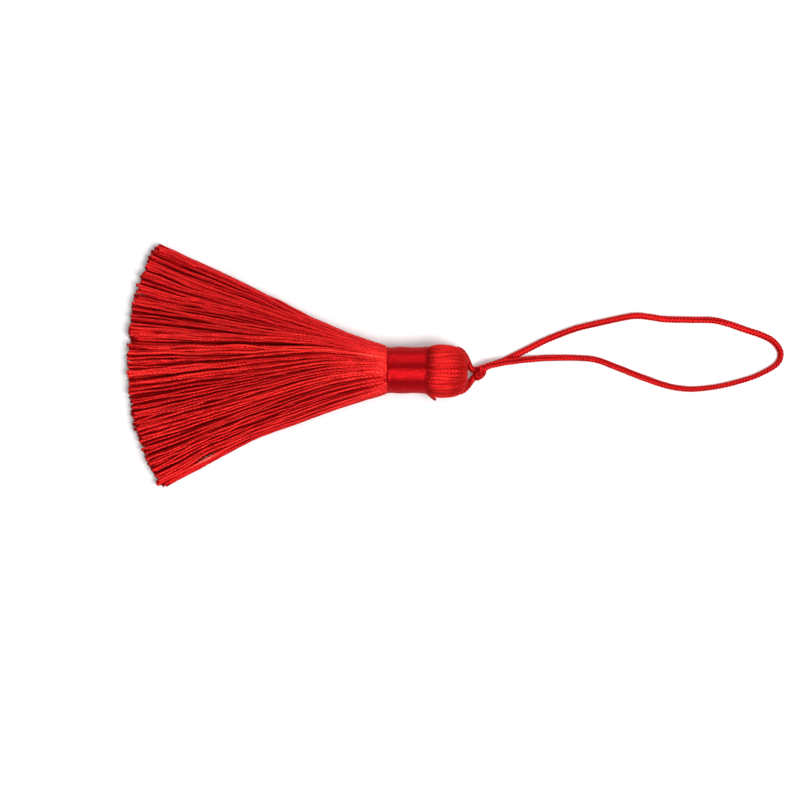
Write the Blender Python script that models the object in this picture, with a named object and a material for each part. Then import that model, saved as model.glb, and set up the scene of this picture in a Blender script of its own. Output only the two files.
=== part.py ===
"""Silk tassel lying on a flat surface, with a braided hanging loop.

The tassel lies along X: the cut ends of the skirt point to -X and the hanging loop goes to +X.
The origin is on the surface, under the middle of the ball-shaped head. Lengths are in metres.
"""

import math
import random
from collections import namedtuple

import bmesh
import bpy
from mathutils import Vector

MM = 0.001

# Places along the tassel's axis
NECK_LEFT = -14.35 * MM
NECK_RIGHT = -5.0 * MM
AXIS_Z = 6.05 * MM
PIECE_GAP = 0.3 * MM

# Neck core, hidden by the binding, and the flared end that the skirt grows from
CORE_RADIUS = 4.5 * MM
FLARE_RADIUS = 5.3 * MM
SKIRT_ROOT_RADIUS = 5.6 * MM
SKIRT_ROOT = NECK_LEFT - 0.85 * MM

# Skirt: upright columns of strands at the neck, each of which spreads into a few layers
COLUMNS = 18
LAYERS = 3
PACKED_RADIUS = 5.35 * MM
STRAND_PITCH = 0.76 * MM
SKIRT_LENGTH = 60.8 * MM
FAN_TOP = math.radians(28.5)
FAN_BOTTOM = math.radians(-26.4)
LEAN_OF_CUT = 2.2 * MM
RAGGED = 0.45 * MM
LAYER_RISE = 0.72 * MM
LAYER_STAGGER = 0.16
StrandStation = namedtuple("StrandStation", "share thickness")
STRAND_STATIONS = (
    StrandStation(0.00, 0.34),
    StrandStation(0.30, 0.31),
    StrandStation(0.72, 0.43),
    StrandStation(1.00, 0.60),
)
LOWEST_ROW_SETTLES = 0.80
TOP_ROW_SETTLES = 1.15
# Powers of a strand's share of length by which the fan opens, columns part and rows sink
FAN_OPENS = 1.15
COLUMN_OPENS = 0.85
ROW_SINKS = 1.2

# Head: rings of the ball, from the binding to the dimple where the cord goes through
RIBS = 48
HeadRing = namedtuple("HeadRing", "x radius rib")
HEAD_RINGS = (
    HeadRing(-4.70, 5.35, 0.00),
    HeadRing(-4.20, 5.80, 0.12),
    HeadRing(-3.20, 6.15, 0.22),
    HeadRing(-1.20, 6.30, 0.24),
    HeadRing(0.80, 6.25, 0.24),
    HeadRing(2.10, 5.80, 0.26),
    HeadRing(3.05, 5.05, 0.30),
    HeadRing(3.75, 4.15, 0.30),
    HeadRing(4.25, 3.10, 0.24),
    HeadRing(4.40, 2.00, 0.14),
    HeadRing(4.05, 1.00, 0.00),
)

# Binding of fine thread round the neck
WRAP_SEGMENTS = 64
WRAP_INNER_RADIUS = CORE_RADIUS + PIECE_GAP
WrapPoint = namedtuple("WrapPoint", "x radius")
WRAP_OUTSIDE = (
    WrapPoint(-14.35, 5.34),
    WrapPoint(-13.95, 5.40),
    WrapPoint(-13.70, 5.28),
    WrapPoint(-11.50, 5.38),
    WrapPoint(-5.65, 5.36),
    WrapPoint(-5.40, 5.48),
    WrapPoint(-5.00, 5.44),
)
# Cut end of the binding thread, which turns over the head's shoulder
TAIL_ANGLE = math.radians(198.0)
TailStep = namedtuple("TailStep", "x radius turn width breadth")
TAIL_STEPS = (
    TailStep(-5.00, 6.05, 35.0, 0.42, 0.50),
    TailStep(-4.10, 6.70, 65.0, 0.36, 0.70),
    TailStep(-2.55, 6.95, 85.0, 0.25, 0.45),
)

# Hanging cord: route points in millimetres, from the knot round the loop and back
CORD_DIAMETER = 1.4 * MM
CORD_POINT_SPACING = 3.0 * MM
CURVE_STEPS = 16
LEG_POINT_SPACING = 1.2 * MM
LOOP_ROUTE = (
    (9.24, 0.98, 1.25), (11.30, 1.65, 0.95), (13.20, 2.30, 0.72), (15.05, 3.20, 0.70),
    (18.80, 5.05, 0.70), (22.60, 6.95, 0.70), (26.35, 8.50, 0.70), (30.10, 9.85, 0.70),
    (33.90, 10.80, 0.70), (37.65, 11.65, 0.70), (41.40, 12.45, 0.70), (44.40, 12.85, 0.70),
    (47.50, 12.55, 0.70), (50.80, 12.05, 0.70), (56.50, 11.90, 0.70), (62.10, 11.80, 0.70),
    (65.90, 10.95, 0.70), (69.65, 9.65, 0.70), (73.40, 8.40, 0.70), (76.30, 6.90, 0.70),
    (78.10, 4.30, 0.70), (77.20, 1.50, 0.70), (73.40, -0.80, 0.70), (69.65, -2.20, 0.70),
    (64.00, -3.65, 0.70), (58.35, -4.35, 0.70), (54.60, -4.20, 0.70), (50.80, -3.40, 0.70),
    (45.20, -1.45, 0.70), (39.50, 0.80, 0.70), (34.80, 2.50, 0.70), (30.10, 2.95, 0.70),
    (24.00, 2.95, 0.74), (18.80, 2.60, 1.10), (15.05, 2.15, 2.15), (13.20, 1.90, 2.60),
    (11.30, 1.50, 2.85), (9.24, 0.98, 3.05),
)
LEG_UPPER_ROUTE = ((4.00, 4.40, 3.00), (4.85, 3.35, 2.75), (5.30, 2.30, 2.50), (5.60, 1.15, 2.35))
LEG_LOWER_ROUTE = ((4.00, -4.45, 3.00), (4.80, -3.60, 2.75), (5.25, -2.85, 2.50), (5.60, -2.25, 2.35))

# Overhand knot: a bean of twisted turns, longer across the cord than along it
KNOT_CENTRE = Vector((7.25, -0.30, 2.15)) * MM
KNOT_HALF_SIZES = Vector((2.25, 1.45, 1.75)) * MM
KNOT_TURN = math.radians(58.0)
KNOT_LOBES = 3
KNOT_LOBE_DEPTH = 0.12
KNOT_TWIST = 2.2
KNOT_STEPS_ROUND = 18
KNOT_STEPS_ALONG = 10


def new_material(name, colour, roughness):
    """A dyed-thread finish: one colour, no metal, a soft shine."""
    material = bpy.data.materials.new(name)
    material.use_nodes = True
    shader = material.node_tree.nodes["Principled BSDF"]
    shader.inputs["Base Color"].default_value = (*colour, 1.0)
    shader.inputs["Roughness"].default_value = roughness
    shader.inputs["Metallic"].default_value = 0.0
    return material


def add_mesh_object(name, bm, material, smooth_angle=None):
    """Turn a closed bmesh into a named object with its faces pointing out."""
    bmesh.ops.recalc_face_normals(bm, faces=bm.faces)
    if bm.calc_volume(signed=True) < 0.0:
        bmesh.ops.reverse_faces(bm, faces=bm.faces)
    mesh = bpy.data.meshes.new(name)
    bm.to_mesh(mesh)
    bm.free()
    mesh.materials.append(material)
    if smooth_angle is not None:
        mesh.shade_smooth()
        mesh.set_sharp_from_angle(angle=smooth_angle)
    thing = bpy.data.objects.new(name, mesh)
    bpy.context.scene.collection.objects.link(thing)
    return thing


def blend(start, end, share):
    return start + (end - start) * share


def round_axis(x, radius, angle):
    """A point at an angle round the tassel's axis, from +Y towards +Z."""
    return Vector((x, radius * math.cos(angle), AXIS_Z + radius * math.sin(angle)))


# ------------------------------------------------------------------ thread bundle

Column = namedtuple("Column", "y height per_layer angle spread")


def skirt_columns():
    """Upright columns across the round root; a column's share of the fan follows its strands."""
    columns = []
    for i in range(COLUMNS):
        across = (2 * i + 1) / COLUMNS - 1
        height = 2 * PACKED_RADIUS * math.sqrt(1.0 - across * across)
        per_layer = max(2, round(height / (STRAND_PITCH * LAYERS)))
        columns.append(Column(across * PACKED_RADIUS, height, per_layer, 0.0, 0.0))
    step = (FAN_TOP - FAN_BOTTOM) / sum(column.per_layer for column in columns)
    angle = FAN_BOTTOM
    for i, column in enumerate(columns):
        spread = step * column.per_layer
        columns[i] = column._replace(angle=angle + spread / 2, spread=spread)
        angle += spread
    return columns


class Strand:
    """One strand of the skirt, from its cell in the root to its cut end in the fan."""

    def __init__(self, column, row, ragged):
        rows = column.per_layer * LAYERS
        self.layer = row // column.per_layer
        place = (row % column.per_layer + 0.5) / column.per_layer - 0.5
        place += LAYER_STAGGER * (self.layer - 1) * LAYERS / column.per_layer
        self.angle = column.angle
        self.length = SKIRT_LENGTH + LEAN_OF_CUT * self.angle / (FAN_TOP - FAN_BOTTOM) + ragged
        self.side_step = self.length * math.cos(self.angle) * place * column.spread
        self.reach = self.length * math.cos(self.angle + place * column.spread)
        self.settles = blend(LOWEST_ROW_SETTLES, TOP_ROW_SETTLES, row / (rows - 1))
        rise = column.height * ((row + 0.5) / rows - 0.5)
        self.root = Vector((SKIRT_ROOT, column.y, AXIS_Z + rise))

    def point(self, share, thickness):
        """Middle of the strand at a share of its length, 0 at the neck and 1 at the cut end."""
        y = blend(self.root.y, self.length * math.sin(self.angle), share ** FAN_OPENS)
        y += self.side_step * share ** COLUMN_OPENS
        settled = thickness / 2 + self.layer * LAYER_RISE
        height = max(0.0, 1.0 - share / self.settles) ** ROW_SINKS
        return Vector((blend(self.root.x, NECK_LEFT - self.reach, share), y,
                       blend(settled, self.root.z, height)))

    def section(self, station):
        """Four corners of the cross-section, with level sides, from low left round to high left."""
        thickness = station.thickness * MM
        middle = self.point(station.share, thickness)
        across = Vector((0.0, 1.0, 0.0))
        if station.share > 0.0:
            ahead = middle - self.point(station.share * 0.9, thickness)
            across = Vector((ahead.y, -ahead.x, 0.0)).normalized()
        up = Vector((0.0, 0.0, 1.0))
        corners = ((-0.5, -0.5), (0.5, -0.5), (0.5, 0.5), (-0.5, 0.5))
        return [middle + (across * side + up * rise) * thickness for side, rise in corners]


def grow_skirt(bm, root_rim):
    """Fill the root round a cell for each strand, then extrude every strand from its cell."""
    shake = random.Random(7)
    strand_of = bm.faces.layers.int.new("strand")
    strands = [Strand(column, row, shake.uniform(-RAGGED, RAGGED))
               for column in skirt_columns() for row in range(column.per_layer * LAYERS)]
    cells = []
    cell_rims = []
    for strand in strands:
        verts = [bm.verts.new(place) for place in strand.section(STRAND_STATIONS[0])]
        cell_rims += [bm.edges.new((verts[i - 1], verts[i])) for i in range(4)]
        cells.append(verts)
    bmesh.ops.triangle_fill(bm, use_beauty=True, edges=root_rim + cell_rims)
    tips = [bm.faces.new(verts) for verts in cells]
    for index, face in enumerate(tips):
        face[strand_of] = index
    for station in STRAND_STATIONS[1:]:
        tips = bmesh.ops.extrude_discrete_faces(bm, faces=tips)["faces"]
        for face in tips:
            section = strands[face[strand_of]].section(station)
            for vert, place in zip(face.verts, section):
                vert.co = place


def ring_of_verts(bm, x, radius, rib=0.0):
    """A ring of points round the axis, every second point set back by the rib's depth."""
    count = 2 * RIBS
    verts = []
    for i in range(count):
        reach = radius - rib * (i % 2)
        verts.append(bm.verts.new(round_axis(x, reach, 2 * math.pi * i / count)))
    return verts


def build_thread_bundle(material):
    """Skirt, neck core and ribbed ball head as one closed body that rests on the surface."""
    bm = bmesh.new()
    rings = [
        ring_of_verts(bm, SKIRT_ROOT, SKIRT_ROOT_RADIUS),
        ring_of_verts(bm, NECK_LEFT - PIECE_GAP, FLARE_RADIUS),
        ring_of_verts(bm, NECK_LEFT - PIECE_GAP, CORE_RADIUS),
        ring_of_verts(bm, NECK_RIGHT + PIECE_GAP, CORE_RADIUS),
    ]
    for ring in HEAD_RINGS:
        rings.append(ring_of_verts(bm, ring.x * MM, ring.radius * MM, ring.rib * MM))
    for near, far in zip(rings, rings[1:]):
        for i in range(2 * RIBS):
            bm.faces.new((near[i - 1], near[i], far[i], far[i - 1]))
    dimple = bm.faces.new(rings[-1])
    bmesh.ops.poke(bm, faces=[dimple])
    grow_skirt(bm, [bm.edges.get((rings[0][i - 1], rings[0][i])) for i in range(2 * RIBS)])
    for vert in bm.verts:
        vert.co.z = max(vert.co.z, 0.0)
    return add_mesh_object("thread_bundle", bm, material, smooth_angle=math.radians(30.0))


# ------------------------------------------------------------------ binding

def build_neck_wrap(material):
    """The binding as a turned sleeve, with the thread's cut end drawn out of its rim."""
    bm = bmesh.new()
    profile = [(point.x * MM, point.radius * MM) for point in WRAP_OUTSIDE]
    profile += [(NECK_RIGHT, WRAP_INNER_RADIUS), (NECK_LEFT, WRAP_INNER_RADIUS)]
    verts = [bm.verts.new(round_axis(x, radius, 0.0)) for x, radius in profile]
    edges = [bm.edges.new((verts[i - 1], verts[i])) for i in range(len(verts))]
    bmesh.ops.spin(bm, geom=verts + edges, cent=(0.0, 0.0, AXIS_Z), axis=(1.0, 0.0, 0.0),
                   angle=2 * math.pi, steps=WRAP_SEGMENTS, use_merge=True)
    bmesh.ops.remove_doubles(bm, verts=bm.verts, dist=0.01 * MM)
    draw_out_tail(bm)
    return add_mesh_object("neck_wrap", bm, material, smooth_angle=math.radians(30.0))


def draw_out_tail(bm):
    """Extrude one face of the rim into the cut end, which bends from outwards to along the axis."""
    rim_x = (WRAP_OUTSIDE[-1].x + WRAP_OUTSIDE[-2].x) / 2 * MM
    start = round_axis(rim_x, WRAP_OUTSIDE[-1].radius * MM, TAIL_ANGLE)
    tip = min(bm.faces, key=lambda face: (face.calc_center_median() - start).length)
    outward = Vector((0.0, math.cos(TAIL_ANGLE), math.sin(TAIL_ANGLE)))
    around = Vector((1.0, 0.0, 0.0)).cross(outward)
    signs = []
    for vert in tip.verts:
        offset = vert.co - tip.calc_center_median()
        signs.append((math.copysign(1.0, offset.x), math.copysign(1.0, offset.dot(around))))
    for step in TAIL_STEPS:
        tip = bmesh.ops.extrude_discrete_faces(bm, faces=[tip])["faces"][0]
        turn = math.radians(step.turn)
        across = Vector((math.cos(turn), 0.0, 0.0)) - outward * math.sin(turn)
        middle = round_axis(step.x * MM, step.radius * MM, TAIL_ANGLE)
        for vert, (along, aside) in zip(tip.verts, signs):
            vert.co = middle + across * along * step.width * MM / 2
            vert.co += around * aside * step.breadth * MM / 2


# ------------------------------------------------------------------ hanging cord

def smooth_route(route, spacing):
    """Evenly spaced points on the smooth curve (Catmull-Rom) through the route's points."""
    knots = [Vector(place) * MM for place in route]
    knots = [knots[0] * 2 - knots[1], *knots, knots[-1] * 2 - knots[-2]]
    fine = []
    for before, here, there, after in zip(knots, knots[1:], knots[2:], knots[3:]):
        for step in range(CURVE_STEPS):
            t = step / CURVE_STEPS
            fine.append(0.5 * (2 * here + (there - before) * t
                               + (2 * before - 5 * here + 4 * there - after) * t ** 2
                               + (3 * here - before - 3 * there + after) * t ** 3))
    fine.append(knots[-2])
    lengths = [0.0]
    for here, there in zip(fine, fine[1:]):
        lengths.append(lengths[-1] + (there - here).length)
    count = max(2, round(lengths[-1] / spacing))
    points = []
    index = 0
    for step in range(count + 1):
        reach = lengths[-1] * step / count
        while index < len(fine) - 2 and lengths[index + 1] < reach:
            index += 1
        share = (reach - lengths[index]) / (lengths[index + 1] - lengths[index])
        points.append(fine[index].lerp(fine[index + 1], min(share, 1.0)))
    return points


def build_cord_tube(name, route, spacing, material):
    """A round tube with filled ends along the route, as a bevelled curve."""
    points = smooth_route(route, spacing)
    curve = bpy.data.curves.new(name, "CURVE")
    curve.dimensions = "3D"
    curve.bevel_depth = CORD_DIAMETER / 2
    curve.bevel_resolution = 2
    curve.use_fill_caps = True
    spline = curve.splines.new("POLY")
    spline.points.add(len(points) - 1)
    for spline_point, place in zip(spline.points, points):
        spline_point.co = (*place, 1.0)
    curve.materials.append(material)
    tube = bpy.data.objects.new(name, curve)
    bpy.context.scene.collection.objects.link(tube)
    return tube


def build_cord_knot(material):
    """The overhand knot as a bean whose lobes wind round its long axis."""
    bm = bmesh.new()
    bmesh.ops.create_uvsphere(bm, u_segments=KNOT_STEPS_ROUND, v_segments=KNOT_STEPS_ALONG,
                              radius=1.0)
    turn_x, turn_y = math.cos(KNOT_TURN), math.sin(KNOT_TURN)
    for vert in bm.verts:
        along = vert.co.z
        around = math.atan2(vert.co.y, vert.co.x)
        lobe = 1.0 + KNOT_LOBE_DEPTH * math.cos(KNOT_LOBES * around + KNOT_TWIST * along)
        long_way = along * KNOT_HALF_SIZES.x
        short_way = vert.co.x * KNOT_HALF_SIZES.y * lobe
        height = vert.co.y * KNOT_HALF_SIZES.z * lobe
        vert.co = KNOT_CENTRE + Vector((long_way * turn_x - short_way * turn_y,
                                        long_way * turn_y + short_way * turn_x, height))
    return add_mesh_object("cord_knot", bm, material, smooth_angle=math.radians(60.0))


def main():
    for thing in list(bpy.data.objects):
        bpy.data.objects.remove(thing)
    yarn = new_material("dyed_silk_yarn", (0.60, 0.012, 0.016), 0.45)
    binding = new_material("dyed_silk_thread", (0.50, 0.008, 0.014), 0.38)
    braid = new_material("dyed_silk_braid", (0.50, 0.008, 0.016), 0.55)
    build_thread_bundle(yarn)
    build_neck_wrap(binding)
    build_cord_tube("cord_leg_upper", LEG_UPPER_ROUTE, LEG_POINT_SPACING, braid)
    build_cord_tube("cord_leg_lower", LEG_LOWER_ROUTE, LEG_POINT_SPACING, braid)
    build_cord_knot(braid)
    build_cord_tube("cord_loop", LOOP_ROUTE, CORD_POINT_SPACING, braid)


main()
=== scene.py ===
# %% [markdown]
# # A silk tassel with a hanging loop
#
# A tassel is a bundle of yarns hung over a cord, bound tightly just below the fold, and cut off
# level at the other end. The fold becomes the head, the binding is the neck, and the cut yarns are
# the skirt. This one lies on a table with its skirt spread in a fan, so every yarn shows.
#
# The file goes through it piece by piece: frame, camera, cord and knot, skirt, binding, head,
# finishes, table and light. Sizes are in millimetres until a mesh is written, since that is how
# thread is measured, and Blender gets metres.

import bpy
import numpy as np
from mathutils import Matrix


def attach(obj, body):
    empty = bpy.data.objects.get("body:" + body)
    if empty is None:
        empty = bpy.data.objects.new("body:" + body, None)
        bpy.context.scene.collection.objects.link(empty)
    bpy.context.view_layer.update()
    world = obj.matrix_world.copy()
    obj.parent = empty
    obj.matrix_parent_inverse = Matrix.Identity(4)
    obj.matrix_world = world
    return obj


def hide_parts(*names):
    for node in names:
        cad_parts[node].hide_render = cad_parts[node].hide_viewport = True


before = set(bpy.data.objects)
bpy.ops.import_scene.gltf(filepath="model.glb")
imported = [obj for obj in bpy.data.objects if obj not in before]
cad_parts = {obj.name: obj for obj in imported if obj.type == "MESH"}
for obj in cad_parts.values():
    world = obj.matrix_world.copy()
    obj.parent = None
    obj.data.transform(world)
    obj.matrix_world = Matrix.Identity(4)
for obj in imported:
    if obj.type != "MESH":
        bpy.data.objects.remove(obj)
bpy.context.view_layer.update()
MM = 0.001

# %% [markdown]
# ## From points to meshes
#
# Yarn, cord, binding and head have one thing in common: each is a tube, thick or thin, with a
# pattern on its skin. So one function turns a block of points into closed tubes. The block is a
# numpy array with four axes (tube, ring along the tube, point round the ring, xyz), and all the
# faces come from sums on whole arrays, which stays quick for hundreds of yarns.
#
# Each tube gets a UV map that follows it: U goes once round, and V is the distance along it in
# millimetres. A twist or a plait drawn with these stays on the yarn wherever the yarn bends.

# %% Tubes from arrays of points


def tube_object(name, points, along, **attributes):
    """Closed tubes as one mesh object.

    A face joins neighbours round a ring and along a tube, and each end has one flat face. along
    is the V of the UV map, in mm. Further arrays are stored as attributes of the points.
    """
    tubes, rings, sides = points.shape[:3]
    index = np.arange(tubes * rings * sides).reshape(tubes, rings, sides)
    near, far = index[:, :-1], index[:, 1:]
    walls = np.stack([near, np.roll(near, -1, 2), np.roll(far, -1, 2), far], axis=-1).reshape(-1, 4)
    starts, ends = index[:, 0, ::-1], index[:, -1]
    mesh = bpy.data.meshes.new(name)
    faces = walls.tolist() + starts.tolist() + ends.tolist()
    mesh.from_pydata((points.reshape(-1, 3) * MM).tolist(), [], faces)

    around = np.broadcast_to(np.arange(sides) / sides, index.shape)
    length = np.broadcast_to(along, index.shape)
    wall_u = np.stack([around[:, 1:], around[:, 1:] + 1 / sides] * 2, axis=-1)[..., [0, 1, 3, 2]]
    wall_v = np.stack([length[:, :-1]] * 2 + [length[:, 1:]] * 2, axis=-1)
    u = np.concatenate([wall_u.ravel(), around[:, 0, ::-1].ravel(), around[:, -1].ravel()])
    v = np.concatenate([wall_v.ravel(), length[:, 0, ::-1].ravel(), length[:, -1].ravel()])
    layer = mesh.uv_layers.new(name="thread")
    layer.data.foreach_set("uv", np.column_stack([u, v]).ravel())
    for key, values in attributes.items():
        store = mesh.attributes.new(key, "FLOAT", "POINT")
        store.data.foreach_set("value", np.broadcast_to(values, index.shape).ravel())
    mesh.shade_smooth()
    thing = bpy.data.objects.new(name, mesh)
    bpy.context.scene.collection.objects.link(thing)
    print(f"{name}: {tubes} tubes, {2 * len(walls) + 2 * tubes * (sides - 2)} triangles")
    return thing


# %% [markdown]
# ## Lines and the directions along them
#
# A cord is first a line through a few points. A Catmull-Rom curve passes through every one of
# them, and even steps along it keep a plait's stitches the same length. At each point three
# directions are needed to draw a ring: along, up and to the side.

# %% Smooth lines and their directions
UP = np.array([0.0, 0.0, 1.0])


def smooth_line(knots, spacing):
    """Even points on the smooth curve through the knots, and each one's distance along it.

    Between two knots the curve is a cubic whose slope at each is half the step between its
    neighbours.
    """
    knots = np.asarray(knots, float)
    padded = np.vstack([2 * knots[0] - knots[1], knots, 2 * knots[-1] - knots[-2]])
    time = np.linspace(0, len(knots) - 1, 60 * len(knots))
    cell = np.minimum(time.astype(int), len(knots) - 2)
    t = (time - cell)[:, None]
    before, here, there, after = (padded[cell + step] for step in range(4))
    slope = (there - before) * t
    bend = (2 * before - 5 * here + 4 * there - after) * t ** 2
    twist = (3 * here - before - 3 * there + after) * t ** 3
    fine = (2 * here + slope + bend + twist) / 2
    reach = np.append(0, np.cumsum(np.linalg.norm(np.diff(fine, axis=0), axis=1)))
    even = np.linspace(0, reach[-1], round(reach[-1] / spacing) + 1)
    return np.column_stack([np.interp(even, reach, axis) for axis in fine.T]), even


def directions(line, outward=UP):
    """Along, outward and sideways unit directions of a line.

    Along is the change from point to point, outward loses its share of along, and sideways is
    square to both.
    """
    along = np.gradient(line, axis=-2)
    along /= np.linalg.norm(along, axis=-1, keepdims=True)
    out = outward - along * np.sum(along * outward, axis=-1, keepdims=True)
    out /= np.linalg.norm(out, axis=-1, keepdims=True)
    return along, out, np.cross(out, along)


# %% [markdown]
# ## The camera
#
# A product shot of something flat is taken from straight above, with a long lens so that the near
# parts look no larger than the far ones. An 85 mm lens on a 36 mm sensor takes in 188 mm of table
# from 444 mm up.

# %% Camera above the table
VIEW_WIDTH = 188.24
VIEW_MIDDLE = (-11.3, -6.93)
LENS = 85.0
SENSOR = 36.0
camera = bpy.data.objects.new("camera", bpy.data.cameras.new("camera"))
camera.data.lens = LENS
camera.data.sensor_width = SENSOR
camera.location = (VIEW_MIDDLE[0] * MM, VIEW_MIDDLE[1] * MM, VIEW_WIDTH * LENS / SENSOR * MM)
camera.data.clip_start = 10 * MM
bpy.context.scene.collection.objects.link(camera)
bpy.context.scene.camera = camera
print("camera height, mm:", round(camera.location.z / MM, 1))

# %% [markdown]
# ## The hanging cord
#
# The loop is a thin silk braid. It goes through the fold of the head, its two legs come round the
# shoulders, an overhand knot joins them, and past the knot it runs out as one long loop. A plaited
# cord of four strands is slightly flat: each broad face shows two columns of plaits that lean
# together like a row of Vs.
#
# A texture on a smooth tube would leave the cord's edges smooth, and on the real one each plait
# makes a small notch there. So the plaits are raised in the mesh, as a formula of the distance
# along and the angle round, and the same line of rings is what the cord's length is taken from.

# %% Route of the cord
# x, y, height in mm: leg under the upper shoulder, knot, loop and back, leg under the lower one.
# The loop's points are its solid's. The legs are drawn a little closer to the head than theirs.
CORD_ROUTE = (
    (1.60, 4.75, 4.20), (2.40, 4.80, 3.55), (3.20, 4.35, 3.05), (3.95, 3.35, 2.80),
    (4.55, 2.10, 2.55), (5.00, 0.95, 2.30), (5.75, 0.15, 1.95), (7.20, 0.25, 1.60),
    (9.24, 0.98, 1.25), (11.30, 1.65, 0.95), (13.20, 2.30, 0.72), (15.05, 3.20, 0.70),
    (18.80, 5.05, 0.70), (22.60, 6.95, 0.70), (26.35, 8.50, 0.70), (30.10, 9.85, 0.70),
    (33.90, 10.80, 0.70), (37.65, 11.65, 0.70), (41.40, 12.45, 0.70), (44.40, 12.85, 0.70),
    (47.50, 12.55, 0.70), (50.80, 12.05, 0.70), (56.50, 11.90, 0.70), (62.10, 11.80, 0.70),
    (65.90, 10.95, 0.70), (69.65, 9.65, 0.70), (73.40, 8.40, 0.70), (76.30, 6.90, 0.70),
    (78.10, 4.30, 0.70), (77.20, 1.50, 0.70), (73.40, -0.80, 0.70), (69.65, -2.20, 0.70),
    (64.00, -3.65, 0.70), (58.35, -4.35, 0.70), (54.60, -4.20, 0.70), (50.80, -3.40, 0.70),
    (45.20, -1.45, 0.70), (39.50, 0.80, 0.70), (34.80, 2.50, 0.70), (30.10, 2.95, 0.70),
    (24.00, 2.95, 0.74), (18.80, 2.60, 1.10), (15.05, 2.15, 2.15), (13.20, 1.90, 2.60),
    (11.30, 1.50, 2.85), (9.24, 0.98, 3.05), (7.60, -0.25, 2.85), (6.50, -1.20, 2.55),
    (5.65, -2.05, 2.35), (5.05, -2.90, 2.45), (4.40, -3.75, 2.70), (3.55, -4.55, 3.00),
    (2.60, -5.00, 3.50), (1.80, -4.95, 4.20),
)
cord_line, cord_reach = smooth_line(CORD_ROUTE, spacing=0.125)

# %% Skin of a plaited cord
# From one plait to the next along a column, in mm
PLAIT_STEP = 0.78
# How far a plait leans towards the rim, in steps
PLAIT_LEAN = 0.85
# How deep the notches between plaits are, as a share of the radius
PLAIT_DEPTH = 0.27
PLAIT_SIDES = 24


def plaited_skin(line, reach, half_width, half_height, roll, outward=UP, depth=PLAIT_DEPTH):
    """Rings of a flat four-strand braid, and how high each point stands in its plait.

    The section is an ellipse, rolled about the line. A broad face is split down its middle: edge
    is 0 there and 1 at the rim. A plait's phase is the distance along in plait steps, less its
    lean towards the rim, with one side half a step behind the other, and its height is the sine
    of that phase times a bulge across the column. The radius sinks where plaits meet.
    """
    _, out, side = directions(line, outward)
    angle = np.arange(PLAIT_SIDES) * 2 * np.pi / PLAIT_SIDES
    edge = np.abs(angle / (np.pi / 2) % 2 - 1)
    phase = reach[:, None] / PLAIT_STEP - PLAIT_LEAN * edge + 0.5 * (np.cos(angle) < 0)
    height = np.abs(np.sin(np.pi * phase)) ** 0.6 * (0.70 + 0.30 * np.sin(np.pi * edge) ** 0.4)
    swell = 1 + depth * (height - 0.8)
    wide = swell * half_width * np.cos(angle)
    high = swell * half_height * np.sin(angle)
    turn = np.broadcast_to(roll, reach.shape)[:, None]
    sideways = wide * np.cos(turn) - high * np.sin(turn)
    upwards = wide * np.sin(turn) + high * np.cos(turn)
    rings = line[:, None] + side[:, None] * sideways[..., None] + out[:, None] * upwards[..., None]
    return rings, height


# %% Cord through the head, the knot and round the loop
# The braid is a little wider than the solid's cord and flatter
CORD_HALF_WIDTH = 0.78
CORD_HALF_HEIGHT = 0.58
# How far along, and how much the braid's broad face is turned away from flat there, in degrees
CORD_TURNS = ((0, 60), (8, 20), (18, 12), (34, 35), (50, 20), (66, -5), (80, 30), (92, 78),
              (106, 60), (120, 25), (136, 40), (146, 10), (162, 0), (172, 30), (180, 60))
turn_at, turn_angle = np.array(CORD_TURNS, float).T
cord_roll = np.radians(np.interp(cord_reach, turn_at, turn_angle))
cord_rings, cord_relief = plaited_skin(cord_line, cord_reach, CORD_HALF_WIDTH, CORD_HALF_HEIGHT,
                                       cord_roll)
hanging_cord = tube_object("hanging_cord", cord_rings[None], cord_reach[None, :, None],
                           relief=cord_relief[None])

# %% [markdown]
# ## The knot
#
# Seen close, an overhand knot is a trefoil pulled tight: three lobes of cord that lie over and
# under each other. The trefoil has a simple formula, and squeezed to the knot's size its lobes
# press together as the real ones do. It is longer across the cord than along it.

# %% Knot as a tightened trefoil
KNOT_CENTRE = np.array([7.47, -0.62, 2.15])
# Half sizes of the cord's middle line in the knot: its long way, its short way and its rise
KNOT_HALF_SIZES = np.array([1.38, 0.45, 0.60])
KNOT_TURN = np.radians(54.0)
# The cord is nearly round where it is pulled tight, and its plaits are pressed almost flat
KNOT_HALF_WIDTH = 0.966
KNOT_HALF_HEIGHT = 0.828
KNOT_PLAIT_DEPTH = 0.03


def trefoil(t):
    """Points of a trefoil knot within a box of half size 1.

    x is sin t + 2 sin 2t, y is cos t - 2 cos 2t, each over 3, and the height is minus sin 3t.
    """
    return np.column_stack([(np.sin(t) + 2 * np.sin(2 * t)) / 3,
                            (np.cos(t) - 2 * np.cos(2 * t)) / 3, -np.sin(3 * t)])


knot_time = np.linspace(0, 2 * np.pi, 220)
long_way, short_way, rise = (trefoil(knot_time) * KNOT_HALF_SIZES).T
knot_line = KNOT_CENTRE + np.column_stack([
    long_way * np.cos(KNOT_TURN) - short_way * np.sin(KNOT_TURN),
    long_way * np.sin(KNOT_TURN) + short_way * np.cos(KNOT_TURN), rise])
knot_reach = np.append(0, np.cumsum(np.linalg.norm(np.diff(knot_line, axis=0), axis=1)))
knot_rings, knot_relief = plaited_skin(knot_line, knot_reach, KNOT_HALF_WIDTH, KNOT_HALF_HEIGHT, 0.0,
                                       outward=knot_line - KNOT_CENTRE, depth=KNOT_PLAIT_DEPTH)
knot = tube_object("overhand_knot", knot_rings[None], knot_reach[None, :, None],
                   relief=knot_relief[None])

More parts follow.
